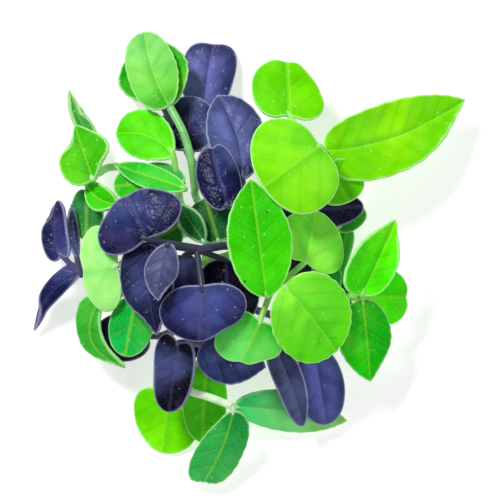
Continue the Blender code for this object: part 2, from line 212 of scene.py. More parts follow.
def outline(leaf, angle):
    """How far a leaf's edge stands out from its ellipse; angle 0 is the tip and pi is the stalk."""
    shape = OUTLINES[leaf.kind]
    from_tip = abs(angle)
    from_stalk = math.pi - from_tip
    eighths = angle / math.tau * len(leaf.lobes)
    first = math.floor(eighths)
    near = [leaf.lobes[(first + step) % len(leaf.lobes)] for step in (-1, 0, 1, 2)]
    edge = between(*near, eighths - first)
    edge -= shape.notch * math.exp(-((from_tip / NOTCH_REACH) ** 2))
    edge -= shape.sinus * math.exp(-((from_stalk / SINUS_REACH) ** 2))
    edge += shape.teeth * math.cos(TEETH_PER_TURN * angle) * min(1.0, from_stalk)
    return edge


def blade_place(leaf, along, across):
    """A point of the unit disc on a leaf in plan, with its way along and aside, in millimetres."""
    shape = OUTLINES[leaf.kind]
    spread = along * along + across * across
    edge = 1 + spread * (outline(leaf, math.atan2(across, along)) - 1)
    narrow = shape.narrow_tip if along > 0 else shape.narrow_base
    base, tip = Vector(leaf.base), Vector(leaf.tip)
    half = (tip - base) / 2
    left = Vector((-half.y, half.x)).normalized()
    aside = across * edge * (1 - narrow * along * along) * leaf.width / 2
    sideways = aside + leaf.bow * (1 - along * along)
    place = (base + tip) / 2 + half * along * edge + left * sideways
    return place, half.length * along * edge, aside


def vein_depth(leaf, on, aside, inset):
    """How far the veins sink a point of the top side, as a share: 1 on the rib and 0 between veins."""
    step = (on - VEIN_SWEEP * abs(aside)) / OUTLINES[leaf.kind].pitch + (0.5 if aside > 0 else 0.0)
    nearness = abs(step - math.floor(step) - 0.5) * 2
    side = nearness**VEIN_SHARPNESS * min(1.0, inset / VEIN_FADE) * SIDE_VEIN_DEPTH
    rib = math.exp(-((aside / RIB_SPREAD) ** 2))
    return max(side, rib)


def blade_point(leaf, along, across, inset=None):
    """A point of a leaf's middle surface, in millimetres. With inset it has its veins and pucker."""
    place, on, aside = blade_place(leaf, along, across)
    height = dome(place.x, place.y) - leaf.depth
    height += leaf.rise * along + leaf.tilt * across
    height += leaf.cup * across * across + leaf.curl * along * along
    if inset is not None:
        height -= leaf.quilt * (vein_depth(leaf, on, aside, inset) - MEAN_VEIN_DEPTH)
        ripple = noise.noise(Vector((place.x, place.y, leaf.depth)) * PUCKER_TURNS)
        height += leaf.quilt * PUCKER * ripple
    return Vector((place.x, place.y, lying(height)))


def screen_tone(number):
    """A colour as it shows on screen, such as 0x4FCF14, as the light it stands for."""
    parts = ((number >> 16) & 255, (number >> 8) & 255, number & 255)
    return tuple((part / 255) ** SCREEN_GAMMA for part in parts)


def paint(mesh, name, kind, values):
    """Stores one value for each corner point of a mesh, for its material to read."""
    layer = mesh.attributes.new(name, kind, "POINT")
    for number, value in enumerate(values):
        if kind == "FLOAT_COLOR":
            layer.data[number].color = (*value, 1.0)
        else:
            layer.data[number].vector = value


def blade(leaf, material):
    """A leaf blade: a grid drawn to the outline, bent to its form, then made solid and rounded."""
    bpy.ops.mesh.primitive_grid_add(x_subdivisions=CELLS[0], y_subdivisions=CELLS[1], size=2.0)
    sheet = bpy.context.object
    turns = [turn / RIM_POINTS * math.tau for turn in range(RIM_POINTS)]
    rim = [blade_place(leaf, math.cos(turn), math.sin(turn))[0] for turn in turns]
    pitch = OUTLINES[leaf.kind].pitch
    places = []
    for corner in sheet.data.vertices:
        x, y = corner.co.x, corner.co.y
        along = x * math.sqrt(1 - y * y / 2)
        across = y * math.sqrt(1 - x * x / 2)
        place, on, aside = blade_place(leaf, along, across)
        inset = 0.0
        if along * along + across * across < ON_THE_EDGE:
            inset = min((place - edge).length for edge in rim)
        places.append((on / pitch, aside / pitch, inset))
        corner.co = blade_point(leaf, along, across, inset) * MM
    paint(sheet.data, "leaf_place", "FLOAT_VECTOR", places)
    # The tone runs from the stalk's to the tip's, a gradient of painted light and shade along the leaf.
    near = Vector(screen_tone(leaf.tone))
    far = Vector(screen_tone(leaf.tip_shaded_tone or leaf.tone))
    reach = (Vector(leaf.tip) - Vector(leaf.base)).length / pitch
    tones = [near.lerp(far, min(1, max(0, 0.5 + on / reach))) for on, _, _ in places]
    paint(sheet.data, "tone", "FLOAT_COLOR", tones)
    sheet.data.materials.append(material)
    wall = sheet.modifiers.new("thickness", "SOLIDIFY")
    wall.thickness = BLADE_THICKNESS * MM
    wall.offset = 0.0
    bpy.ops.object.modifier_apply(modifier="thickness")
    soft = sheet.modifiers.new("soft", "SUBSURF")
    soft.levels = 1
    soft.render_levels = 1
    bpy.ops.object.modifier_apply(modifier="soft")
    bpy.ops.object.shade_smooth()
    return sheet


def smooth_route(points, steps):
    """Points along a smooth curve through a few given ones, steps to each stretch."""
    ends = [points[0] * 2 - points[1], *points, points[-1] * 2 - points[-2]]
    route = []
    for a, b, c, d in zip(ends, ends[1:], ends[2:], ends[3:]):
        for step in range(steps):
            route.append(between(a, b, c, d, step / steps))
    return [*route, points[-1]]


def tube(name, route, radius, end_share, tone, material):
    """A round stem or stalk along a route in millimetres, thinner towards its far end."""
    curve = bpy.data.curves.new(name, "CURVE")
    curve.dimensions = "3D"
    curve.bevel_depth = radius * MM
    curve.bevel_resolution = TUBE_ROUNDNESS
    curve.use_fill_caps = True
    spline = curve.splines.new("POLY")
    spline.points.add(len(route) - 1)
    for number, (point, place) in enumerate(zip(spline.points, route)):
        point.co = (*(place * MM), 1.0)
        point.radius = 1 - (1 - end_share) * number / (len(route) - 1)
    item = bpy.data.objects.new(name, curve)
    bpy.context.scene.collection.objects.link(item)
    bpy.ops.object.select_all(action="DESELECT")
    item.select_set(True)
    bpy.context.view_layer.objects.active = item
    bpy.ops.object.convert(target="MESH")
    bpy.ops.object.mode_set(mode="EDIT")
    bpy.ops.mesh.select_all(action="SELECT")
    bpy.ops.mesh.remove_doubles(threshold=WELD * MM)
    bpy.ops.mesh.normals_make_consistent(inside=False)
    bpy.ops.object.mode_set(mode="OBJECT")
    item = bpy.context.object
    paint(item.data, "tone", "FLOAT_COLOR", [screen_tone(tone)] * len(item.data.vertices))
    item.data.materials.clear()
    item.data.materials.append(material)
    bpy.ops.object.shade_smooth_by_angle(angle=math.radians(SMOOTH_ANGLE))
    return item


def stalk_route(leaf, stem):
    """A leaf stalk's points: out of the stem, to the blade's edge, and on as the rib under the blade."""
    start = stem[0]
    if leaf.kind == "seed":
        start = stem[0] + (stem[1] - stem[0]).normalized() * SEED_LEAF_DROP
    stations = [start]
    for along, under in RIB_STATIONS:
        stations.append(blade_point(leaf, along, 0.0) - Vector((0, 0, under)))
    return smooth_route(stations, STALK_STEPS)


def seedling(name, colour, stem, stem_tone, leaves):
    """One whole seedling in place of its CAD node: its stem, with every stalk and blade on it."""
    blade_finish = {"green": green_leaf, "purple": purple_leaf}[colour]
    stem = [Vector(point) for point in stem]
    stem_route = smooth_route(stem, STEM_STEPS)
    pieces = [tube("stem", stem_route, STEM_RADIUS, 1.0, stem_tone, soft_stem)]
    for leaf in leaves:
        pieces.append(blade(leaf, blade_finish))
        route = stalk_route(leaf, stem)
        pieces.append(tube("stalk", route, STALK_RADIUS, STALK_TAPER, stem_tone, soft_stem))
    bpy.ops.object.select_all(action="DESELECT")
    for piece in pieces:
        piece.select_set(True)
    bpy.context.view_layer.objects.active = pieces[0]
    bpy.ops.object.join()
    whole = bpy.context.object
    whole.name = f"{name}_seedling"
    whole.data.name = whole.name
    for corner in whole.data.vertices:
        corner.co.z = max(corner.co.z, 0.0)
    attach(whole, "root")
    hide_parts(name)


class Field:
    """A value that changes over a surface. Sums and products of fields add their Math nodes."""

    def __init__(self, finish, socket):
        self.finish = finish
        self.socket = socket

    def math(self, operation, *values):
        return self.finish.node("ShaderNodeMath", {"operation": operation}, *values)

    def __add__(self, other):
        return self.math("ADD", self, other)

    def __radd__(self, other):
        return self.math("ADD", other, self)

    def __sub__(self, other):
        return self.math("SUBTRACT", self, other)

    def __rsub__(self, other):
        return self.math("SUBTRACT", other, self)

    def __mul__(self, other):
        return self.math("MULTIPLY", self, other)

    def __rmul__(self, other):
        return self.math("MULTIPLY", other, self)

    def __abs__(self):
        return self.math("ABSOLUTE", self)

    def fraction(self):
        return self.math("FRACT", self)

    def over(self, level):
        """1 where the value is over a level, and 0 elsewhere."""
        return self.math("GREATER_THAN", self, level)

    def or_more(self, other):
        """The greater of two fields."""
        return self.math("MAXIMUM", self, other)

    def ramp(self, low, high):
        """0 at low and 1 at high, with a smooth turn at both; low may be the greater."""
        if low > high:
            return 1.0 - self.ramp(high, low)
        settings = {"interpolation_type": "SMOOTHSTEP"}
        return self.finish.node("ShaderNodeMapRange", settings, self, low, high)


class Finish:
    """A material with its nodes."""

    def __init__(self, name):
        self.material = bpy.data.materials.new(name)
        self.material.use_nodes = True
        self.tree = self.material.node_tree
        self.shader = self.tree.nodes["Principled BSDF"]

    def feed(self, socket, value):
        """Links a field to a socket, or sets the socket to a plain value."""
        if isinstance(value, Field):
            self.tree.links.new(value.socket, socket)
        else:
            socket.default_value = value

    def node(self, kind, settings, *values, output=0):
        """A node of a kind, its settings made first and its sockets fed in order; None skips one."""
        made = self.tree.nodes.new(kind)
        for key, value in settings.items():
            setattr(made, key, value)
        for socket, value in zip(made.inputs, values):
            if value is not None:
                self.feed(socket, value)
        return Field(self, made.outputs[output])

    def blend(self, share, plain, other, way="MIX"):
        """One colour over another by a share."""
        settings = {"data_type": "RGBA", "blend_type": way}
        skipped = [None] * 5
        return self.node("ShaderNodeMix", settings, share, *skipped, plain, other, output=2)

    def place(self):
        """The object's own coordinates, in metres."""
        return self.node("ShaderNodeTexCoord", {}, output=3)

    def noise(self, turns, detail=2.0):
        """Soft noise that stays with the object, with so many turns to the metre."""
        return self.node("ShaderNodeTexNoise", {}, self.place(), None, turns, detail)

    def cells(self, feature, turns):
        """A scatter of cells, by their distance to a middle or to an edge."""
        return self.node("ShaderNodeTexVoronoi", {"feature": feature}, self.place(), None, turns)

    def stored(self, name, output=0):
        """A value that the mesh stores for each of its points."""
        return self.node("ShaderNodeAttribute", {"attribute_name": name}, output=output)

    def shine(self, colour, glow):
        """The finish's colour, with a little light of its own, for the light that passes through."""
        self.feed(self.shader.inputs["Base Color"], colour)
        self.feed(self.shader.inputs["Emission Color"], colour)
        self.shader.inputs["Emission Strength"].default_value = glow


NET_TURNS = 1900.0
DOT_TURNS = 700.0
SPECK_TURNS = 230.0
PATCH_TURNS = 120.0
BLUSH_TURNS = 240.0
GRAIN_TURNS = 2600.0
RIPPLE_TURNS = 800.0
SIDE_VEIN_PAINT = 0.4
FOLD_SHADE = 0.6
LINE_SHADE = 0.15
PATCH_SHADE = 0.85
NET_PAINT = 0.06
SPECK_PAINT = 0.8
GRAIN_ROUGHNESS = 0.22
VEIN_ROUGHNESS = 0.1
NET_RELIEF = 0.12
GRAIN_RELIEF = 0.08
LINE_RELIEF = 0.3
RIB_RELIEF = 0.4
RELIEF_HEIGHT = 0.2


def leaf_finish(name, colours, shares, roughness, gloss, glow):
    """Leaf tissue: the blade's tone, deeper and brighter in random patches, with veins and specks.
    Painted shade lies on one side of the rib, in the vein grooves and towards the edge, and the pale rim
    along the edge is a painted highlight; on the purple leaves the brighter patches are partly painted
    highlights too.

    on and aside are ways along and across the blade, in steps from one side vein to the next, and inset
    is the way in from its edge, in millimetres. The TURNS are how fine a pattern is, per metre."""
    finish = Finish(name)
    spot = finish.node("ShaderNodeSeparateXYZ", {}, finish.stored("leaf_place", output=1))
    on, aside, inset = [Field(finish, socket) for socket in spot.socket.node.outputs]
    tone = finish.stored("tone")

    off = abs(aside)
    rib = off.ramp(0.12, 0.02)
    step = on - VEIN_SWEEP * off + aside.over(0.0) * 0.5
    line = abs(step.fraction() - 0.5) * 2.0
    side_vein = line.ramp(0.86, 1.0) * inset.ramp(0.1, 1.0) * SIDE_VEIN_PAINT
    veins = rib.or_more(side_vein)
    net = finish.cells("DISTANCE_TO_EDGE", NET_TURNS)
    dots = finish.cells("F1", DOT_TURNS)
    specks = finish.cells("F1", SPECK_TURNS)
    speck_colour = Field(finish, specks.socket.node.outputs["Color"])
    chosen = finish.node("ShaderNodeSeparateColor", {}, speck_colour)
    facing = finish.node("ShaderNodeNewGeometry", {}, output=1)
    upward = finish.node("ShaderNodeSeparateXYZ", {}, facing, output=2)
    patches = finish.noise(PATCH_TURNS, 3.0)
    blush = finish.noise(BLUSH_TURNS)
    grain = finish.noise(GRAIN_TURNS, 3.0)
    ripple = finish.noise(RIPPLE_TURNS)

    deep = finish.blend(1.0, tone, colours["deep"], "MULTIPLY")
    # Painted shade along one side of the rib, as if the blade were folded there.
    rib_side_shade = off.ramp(0.6, 0.0) * aside.ramp(-0.05, 0.05) * FOLD_SHADE
    # Painted shade near the sunk veins, with deeper patches of tone at random.
    groove_shade_and_patches = line.ramp(0.1, 0.9) * LINE_SHADE + patches.ramp(0.6, 0.36) * PATCH_SHADE
    shade = rib_side_shade + (1.0 - rib_side_shade) * groove_shade_and_patches * shares["deep"]
    # Painted shade towards the blade's edge, as if it curved away from the light.
    shade = shade + (1.0 - shade) * inset.ramp(2.2, 0.3) * shares["edge"]
    colour = finish.blend(shade, tone, deep)
    # Brighter patches at random; on the purple leaves they are partly painted highlights.
    colour = finish.blend(patches.ramp(0.5, 0.75) * shares["bright"], colour, colours["bright"])
    colour = finish.blend(blush.ramp(0.5, 0.66) * shares["blush"], colour, colours["blush"])
    colour = finish.blend(net.ramp(0.12, 0.0) * NET_PAINT, colour, colours["vein"])
    colour = finish.blend(veins * shares["vein"], colour, colours["vein"])
    colour = finish.blend(upward.ramp(0.1, -0.2) * shares["under"], colour, colours["under"])
    colour = finish.blend(dots.ramp(0.13, 0.06) * shares["dots"], colour, colours["rim"])
    marks = specks.ramp(0.05, 0.025) * chosen.ramp(0.45, 0.47) * SPECK_PAINT
    colour = finish.blend(marks, colour, colours["speck"])
    # The pale rim along the blade's edge is a painted highlight.
    colour = finish.blend(inset.ramp(0.3, 0.05) * shares["rim"], colour, colours["rim"])
    finish.shine(colour, glow)

    finish.shader.inputs["Specular IOR Level"].default_value = gloss
    dullness = roughness + GRAIN_ROUGHNESS * (grain - 0.5) + VEIN_ROUGHNESS * veins
    finish.feed(finish.shader.inputs["Roughness"], dullness)
    height = net.ramp(0.0, 0.3) * NET_RELIEF + grain * GRAIN_RELIEF + ripple
    height = height - line.ramp(0.6, 1.0) * LINE_RELIEF - rib * RIB_RELIEF
    bump = finish.node("ShaderNodeBump", {}, shares["bump"], RELIEF_HEIGHT * MM)
    finish.feed(bump.socket.node.inputs["Height"], height)
    finish.feed(finish.shader.inputs["Normal"], bump)
    return finish.material


STREAK_TURNS = 900.0
STREAK_SHADE = (0.55, 0.62, 0.5, 1.0)
STREAK_SHARE = 0.6
STEM_GLOW = 0.12


def stem_finish():
    """Soft stem tissue: pale, with fine streaks and a moist shine."""
    finish = Finish("soft_stem")
    tone = finish.stored("tone")
    streak = finish.noise(STREAK_TURNS, 3.0).ramp(0.35, 0.65)
    finish.shine(finish.blend(streak * STREAK_SHARE, tone, STREAK_SHADE, "MULTIPLY"), STEM_GLOW)
    finish.feed(finish.shader.inputs["Roughness"], 0.3 + 0.2 * streak)
    return finish.material


green_leaf = leaf_finish(
    "green_leaf",
    {
        "deep": (0.2, 0.58, 0.42, 1.0),
        "blush": (*screen_tone(0x30B838), 1.0),
        "bright": (*screen_tone(0xA4F212), 1.0),
        "vein": (*screen_tone(0xB4F040), 1.0),
        # rim is the colour of the painted highlight along the edge, and also of the pale dots.
        "rim": (*screen_tone(0xD0FAB0), 1.0),
        "under": (*screen_tone(0x9CDC78), 1.0),
        "speck": (*screen_tone(0x1C4A18), 1.0),
    },
    {
        # edge is the share of painted shade towards the blade's edge, and rim that of its painted
        # highlight.
        "deep": 0.75, "edge": 0.12, "bright": 0.2, "blush": 0.16, "vein": 0.24, "dots": 0.25,
        "rim": 0.5, "under": 0.6, "bump": 0.4,
    },
    roughness=0.42,
    gloss=0.05,
    glow=0.06,
)
purple_leaf = leaf_finish(
    "purple_leaf",
    {
        "deep": (0.11, 0.15, 0.2, 1.0),
        "blush": (*screen_tone(0x44345C), 1.0),
        "bright": (*screen_tone(0x5C6CA8), 1.0),
        "vein": (*screen_tone(0x6A68A0), 1.0),
        # rim is the colour of the painted highlight along the edge, and also of the pale dots.
        "rim": (*screen_tone(0xBCBCE4), 1.0),
        "under": (*screen_tone(0x6C5A80), 1.0),
        "speck": (*screen_tone(0x101024), 1.0),
    },
    {
        # edge is the share of painted shade towards the blade's edge, and rim that of its painted
        # highlight.
        "deep": 1.0, "edge": 0.75, "bright": 0.6, "blush": 0.3, "vein": 0.14, "dots": 0.3,
        "rim": 0.45, "under": 0.5, "bump": 0.9,
    },
    roughness=0.3,
    gloss=0.11,
    glow=0.05,
)
soft_stem = stem_finish()

seedling(
    "green_crown",
    "green",
    [(2.7, -4.0, 13.0), (2.6, -3.5, 8.5), (1.4, -2.5, 3.2), (-2.0, -1.2, 0.6), (-6.0, 0.3, 0.33)],
    0x9FE070,
    [
        Leaf("true", (2.0, -4.8), (0.1, 9.3), 8.2, 1.5, 0x48E800, cup=0.6, curl=-0.9, tip_shaded_tone=0x3CC808,
             quilt=0.12, lobes=(1, 1, 0.95, 1, 1, 1, 1.02, 1)),
        Leaf("round", (4.0, -3.3), (10.7, -11.6), 10.5, 1.3, 0xA0FF44, cup=-0.9, curl=-0.7, bow=0.25,
             tip_shaded_tone=0x68FC08, quilt=0.1, lobes=(1, 0.97, 1, 1.1, 1, 0.95, 1, 1.08)),
        Leaf("seed", (1.5, -7.2), (-1.3, -13.0), 8.0, 3.4, 0x38CC2C, tip_shaded_tone=0x84FF7C, quilt=0.05,
             lobes=(1.08, 0.8, 1, 1, 1, 1.1, 0.97, 1.25)),
        Leaf("oval", (6.7, -1.0), (8.3, 5.9), 8.0, 3.9, 0xA4FF50, quilt=0.08,
             lobes=(1, 1, 1, 1, 1, 1.38, 1.04, 0.9)),
    ],
)

# The right-hand seedling: two toothed true leaves that spread up and down, over its two seed leaves.
# Its stem bends down to the left under the crown, and all four stalks grow out of the stem's top.
seedling(
    "green_right",
    "green",
    [(13.7, -4.9, 8.4), (10.6, -4.7, 4.2), (7.6, -4.6, 1.2), (4.4, -4.6, 0.33)],
    0x8FDC60,
    [
        Leaf("true", (13.8, -4.7), (18.0, 4.5), 6.3, 2.6, 0x50FF00, cup=1.0, tip_shaded_tone=0x60F400,
             quilt=0.14, lobes=(1, 0.88, 0.95, 1.25, 1, 1, 0.87, 0.82)),
        Leaf("true", (13.9, -5.0), (15.0, -15.1), 7.0, 2.8, 0x00A020, cup=-0.6, curl=-0.6,
             tip_shaded_tone=0x00E010, quilt=0.14, lobes=(1, 0.85, 0.92, 1, 1, 1, 1, 1)),
        Leaf("seed", (14.4, -4.9), (19.9, -4.9), 7.0, 4.4, 0x48FF00, quilt=0.05),
        Leaf("seed", (13.0, -4.9), (8.0, -5.3), 6.4, 6.8, 0x1C6A24, quilt=0.05),
    ],
)

# The upper right seedling: its long pointed leaf reaches far out of the heap, beside broad seed leaves.
# The long stem that carries them runs under the heap, and comes to lie on the surface on the far side.
seedling(
    "green_top",
    "green",
    [
        (9.1, 13.2, 10.0), (8.3, 11.0, 8.6), (6.0, 7.0, 7.4), (3.0, 3.4, 6.8), (-2.1, 0.6, 5.8),
        (-6.4, -0.8, 4.6), (-7.6, -2.2, 3.2), (-7.4, -3.9, 1.5), (-6.8, -5.6, 0.33),
    ],
    0x9FE070,
    [
        Leaf("true", (9.3, 13.3), (26.4, 19.6), 9.0, 1.7, 0x94E800, cup=0.9, rise=2.2, bow=-1.4,
             tip_shaded_tone=0x9CF400, quilt=0.16, lobes=(1, 1, 1.02, 1.08, 1, 1.2, 0.96, 0.95)),
        Leaf("oval", (9.1, 14.3), (1.6, 8.7), 12.6, -0.3, 0x8CEC30, cup=-0.7, tip_shaded_tone=0x7CE008,
             quilt=0.06, lobes=(1.02, 1.08, 1.02, 1.06, 1, 1, 1.03, 1)),
        Leaf("seed", (4.9, 17.0), (4.6, 24.6), 9.1, 2.2, 0x76E000, quilt=0.05,
             lobes=(1.1, 1.12, 1, 1, 1, 1.2, 0.86, 0.8)),
        Leaf("oval", (9.4, 12.0), (12.3, 6.9), 6.2, 3.2, 0x78E010, quilt=0.05,
             lobes=(1, 1.12, 1, 1, 1, 1, 1, 1)),
    ],
)

# The upper left seedling: a pair of true leaves, the front one turned with its pale side up.
# They stand at the end of a long stem, which arches over the purple leaves and down into the heap.
seedling(
    "green_upright",
    "green",
    [
        (-9.9, 18.7, 8.4), (-8.2, 15.4, 10.0), (-7.3, 12.0, 10.6), (-6.9, 9.0, 9.8),
        (-6.8, 7.8, 8.0), (-6.2, 6.7, 5.0), (-4.9, 5.9, 1.8), (-3.2, 5.4, 0.33),
    ],
    0x74BC68,
    [
        Leaf("round", (-10.0, 18.9), (-13.2, 28.3), 6.3, 0.6, 0x58C428, cup=-0.4, rise=1.2, bow=0.6,
             tip_shaded_tone=0x98E47C, quilt=0.12, lobes=(1, 1.1, 1.02, 1.18, 1, 0.92, 1, 0.98)),
        Leaf("true", (-9.9, 18.9), (-13.1, 27.4), 9.1, 2.6, 0x04A014, cup=0.5, rise=0.8, bow=0.6,
             quilt=0.12, lobes=(1, 1, 1, 0.9, 1, 0.9, 1, 1)),
    ],
)

# The seedling under the arched stem: a broad true leaf, and a narrow one seen nearly from its edge.
# Two seed leaves lie lower, and all of them grow out of the top of one short stem.
seedling(
    "green_upper_left",
    "green",
    [(-8.9, 8.8, 8.6), (-8.8, 7.3, 5.0), (-8.3, 6.0, 1.6), (-7.0, 4.5, 0.33)],
    0x8FDC60,
    [
        Leaf("true", (-9.5, 12.8), (-16.6, 15.5), 6.2, 3.9, 0x68EC00, cup=0.2, tilt=-0.4, bow=-1.1,
             quilt=0.12, lobes=(1, 1.05, 1, 0.85, 1, 1, 1, 1.3)),
        Leaf("true", (-8.2, 8.6), (-16.7, 11.5), 3.1, 3.6, 0x34C838, cup=-0.3, tilt=0.5, quilt=0.1,
             lobes=(1, 1, 1, 1, 1.08, 1, 1, 1)),
        Leaf("oval", (-7.9, 9.2), (-13.4, 10.9), 3.4, 5.0, 0x2A8F50, quilt=0.05),
        Leaf("oval", (-11.6, 9.4), (-17.0, 8.9), 4.4, 4.6, 0x3CC820, cup=-0.3, quilt=0.05),
    ],
)

# The far left seedling: a fan of small leaves at the heap's edge, the outermost one young and thin.
# Its pale stem arches back towards the middle and down into the heap.
seedling(
    "green_left",
    "green",
    [
        (-19.1, 10.5, 6.3), (-17.7, 11.3, 6.1), (-15.6, 11.3, 5.8), (-12.8, 10.2, 4.4),
        (-11.4, 8.4, 2.4), (-10.6, 6.6, 0.9), (-9.9, 4.0, 0.33),
    ],
    0xA8E890,
    [
        Leaf("true", (-19.5, 9.7), (-21.8, 16.4), 6.5, 1.7, 0x4CC000, cup=0.9, quilt=0.12,
             lobes=(1, 0.65, 1.05, 1.25, 1, 0.75, 1, 0.95)),
        Leaf("young", (-20.0, 14.8), (-22.7, 21.0), 3.0, 3.6, 0x3A9A48, cup=0.4, tilt=0.4, bow=0.2,
             quilt=0.06, lobes=(1, 0.75, 0.5, 0.9, 1, 1.25, 0.35, 0.45)),
        Leaf("true", (-20.4, 9.3), (-16.4, 6.7), 3.3, 3.4, 0x40D010, cup=0.4, bow=-0.7, quilt=0.08),
        Leaf("oval", (-20.4, 9.0), (-20.4, 2.2), 4.2, 6.3, 0x2E8048, quilt=0.05),
    ],
)

# A seedling whose seed leaf is turned over, so that its pale underside shows.
# Its second seed leaf is dark and lies low in the heap.
seedling(
    "pale_left",
    "green",
    [(-13.0, 1.5, 9.0), (-10.2, 2.5, 6.0), (-6.8, 3.3, 2.2), (-3.4, 3.8, 0.33)],
    0xB8E8A0,
    [
        Leaf("seed", (-16.0, -0.9), (-21.1, -1.5), 10.6, 3.5, 0xB0F88C, cup=-0.7, quilt=0.06,
             lobes=(1, 1, 1.06, 1.1, 1, 1, 1, 1)),
        Leaf("seed", (-12.2, 2.2), (-8.6, 4.1), 4.8, 6.6, 0x2A8F40, quilt=0.05),
    ],
)

# The lower left seedling: a deep green seed leaf, and a narrow leaf bowed round the heap's edge.
# Their short stem runs down to the surface, to the right.
seedling(
    "green_lower_left",
    "green",
    [(-13.5, -4.0, 7.2), (-12.3, -4.5, 4.4), (-10.9, -4.8, 1.6), (-8.9, -5.0, 0.33)],
    0x8FDC60,
    [
        Leaf("oval", (-14.0, -4.6), (-15.6, -12.3), 5.6, 5.0, 0x04A838, tip_shaded_tone=0x08CC58, quilt=0.06),
        Leaf("true", (-18.6, -5.0), (-15.7, -13.5), 2.9, 5.4, 0x4CC040, cup=0.3, bow=-2.8, quilt=0.08,
             lobes=(1, 1, 1, 1, 1, 1.5, 1.1, 1)),
    ],
)

# The bottom seedling: its two leaves spread from the end of a long pale stem.
# The stem crosses over the leaves of the next seedling, and then turns down into the heap.
seedling(
    "green_bottom",
    "green",
    [
        (-2.4, -18.4, 6.7), (-5.0, -17.4, 6.8), (-7.6, -16.5, 6.7), (-9.6, -14.7, 5.7),
        (-10.6, -13.3, 3.5), (-10.3, -12.2, 1.1), (-8.7, -11.2, 0.33),
    ],
    0xD8F4C8,
    [
        Leaf("true", (-2.0, -18.5), (11.8, -20.5), 5.4, 7.8, 0x3CE488, cup=-0.4, rise=-0.6, bow=0.3,
             tip_shaded_tone=0xA4EC80, quilt=0.14),
        Leaf("round", (-2.1, -19.0), (-5.9, -28.2), 5.5, 4.8, 0x04A048, cup=-0.7, bow=0.5,
             tip_shaded_tone=0x4CC464, quilt=0.1, lobes=(1, 1.08, 1, 1.17, 1, 0.8, 1, 1.3)),
    ],
)

# A seedling with two broad seed leaves, low at the bottom of the heap.
# They are thin and bright, and their short stem is hidden under the purple leaves.
seedling(
    "green_bottom_left",
    "green",
    [(-7.2, -14.2, 5.2), (-6.1, -12.9, 2.5), (-4.9, -11.9, 0.8), (-2.4, -10.8, 0.33)],
    0x8FDC60,
    [
        Leaf("oval", (-10.0, -16.6), (-11.2, -24.6), 8.3, 7.9, 0x88FC08, quilt=0.06,
             lobes=(1, 1.05, 1, 0.65, 0.95, 1.25, 0.97, 0.87)),
        Leaf("oval", (-5.3, -12.8), (-6.0, -23.2), 5.6, 6.9, 0x68E428, quilt=0.06),
    ],
)

# A small seedling under the right side: only the edges of its leaves show between the others.
# Two narrow seed leaves and a small true leaf grow out of one short stem.
seedling(
    "green_under_right",
    "green",
    [(8.2, 1.2, 6.0), (6.8, 1.2, 3.2), (4.6, 1.5, 1.0), (1.9, 1.9, 0.33)],
    0x8FDC60,
    [
        Leaf("oval", (10.6, 3.6), (14.4, 6.0), 2.8, 7.1, 0x2EA838, quilt=0.05),
        Leaf("oval", (10.4, -3.6), (12.2, 3.8), 2.6, 8.5, 0x38A83C, quilt=0.05,
             lobes=(1, 1, 1, 1, 1, 1, 0.8, 1.1)),
        Leaf("true", (8.4, 0.0), (10.7, -4.3), 3.6, 5.6, 0x50B060, quilt=0.06),
    ],
)

# A dark green seedling deep in the middle of the heap, in the shade of the purple leaves.
# A young leaf and a seed leaf grow out of its short stem.
seedling(
    "green_centre",
    "green",
    [(-4.2, 1.4, 8.2), (-3.6, 2.1, 5.0), (-2.2, 2.0, 1.9), (-0.2, 1.6, 0.33)],
    0xA0D8B0,
    [
        Leaf("young", (-5.6, 1.9), (-8.9, 6.8), 3.0, 5.9, 0x1E6E45, cup=0.4, rise=0.4, quilt=0.06),
        Leaf("oval", (-3.8, 1.7), (-5.6, 7.5), 6.2, 7.2, 0x1E6440, quilt=0.05),
    ],
)

# The large purple seedling: two broad leaves, a young one and a true one, with two more below them.
# The two below are painted near black, as painted shade inside the heap.
# Purple tissue is darker and glossier than green and puckered; the thin pale line along its edge is a
# painted highlight.
seedling(
    "purple_centre",
    "purple",
    [
        (-6.6, 1.0, 12.6), (-4.6, 1.3, 12.2), (-2.7, 1.5, 11.2), (0.6, 1.0, 8.8),
        (2.3, -0.3, 4.8), (2.9, -1.1, 1.6), (4.6, -2.0, 0.33),
    ],
    0x343450,
    [
        Leaf("seed", (-12.4, 1.8), (-15.1, 7.9), 11.3, 1.4, 0x242E5C, cup=-1.0, tip_shaded_tone=0x32427C,
             quilt=0.1, lobes=(1.1, 0.88, 1, 1.2, 1, 1, 1, 0.95)),
        Leaf("oval", (-5.9, -3.2), (-6.2, -10.3), 10.4, 1.6, 0x525AA8, cup=-1.0, tip_shaded_tone=0x2C3068,
             quilt=0.1, lobes=(1, 0.78, 1.03, 1.25, 1.1, 1, 1, 1)),
        Leaf("young", (-9.8, 1.9), (-11.2, -5.1), 4.2, 0.2, 0x9092C0, cup=-0.5, bow=-0.4, quilt=0.14,
             lobes=(1, 0.8, 1, 1, 1, 1, 1, 1.05)),
        Leaf("true", (-12.7, 1.9), (-11.6, -9.2), 6.3, 3.1, 0x363E68, cup=0.5, bow=-0.35, quilt=0.16,
             lobes=(1, 0.85, 1, 1, 1, 1.25, 1.1, 0.87)),
        # The two leaves below the others are painted near black, as shade inside the heap.
        Leaf("oval", (-8.2, 0.8), (-8.0, -6.5), 4.4, 5.4, 0x121226, quilt=0.08),
        Leaf("oval", (-3.0, 0.4), (-2.6, -9.0), 8.0, 7.5, 0x101024, quilt=0.08),
    ],
)

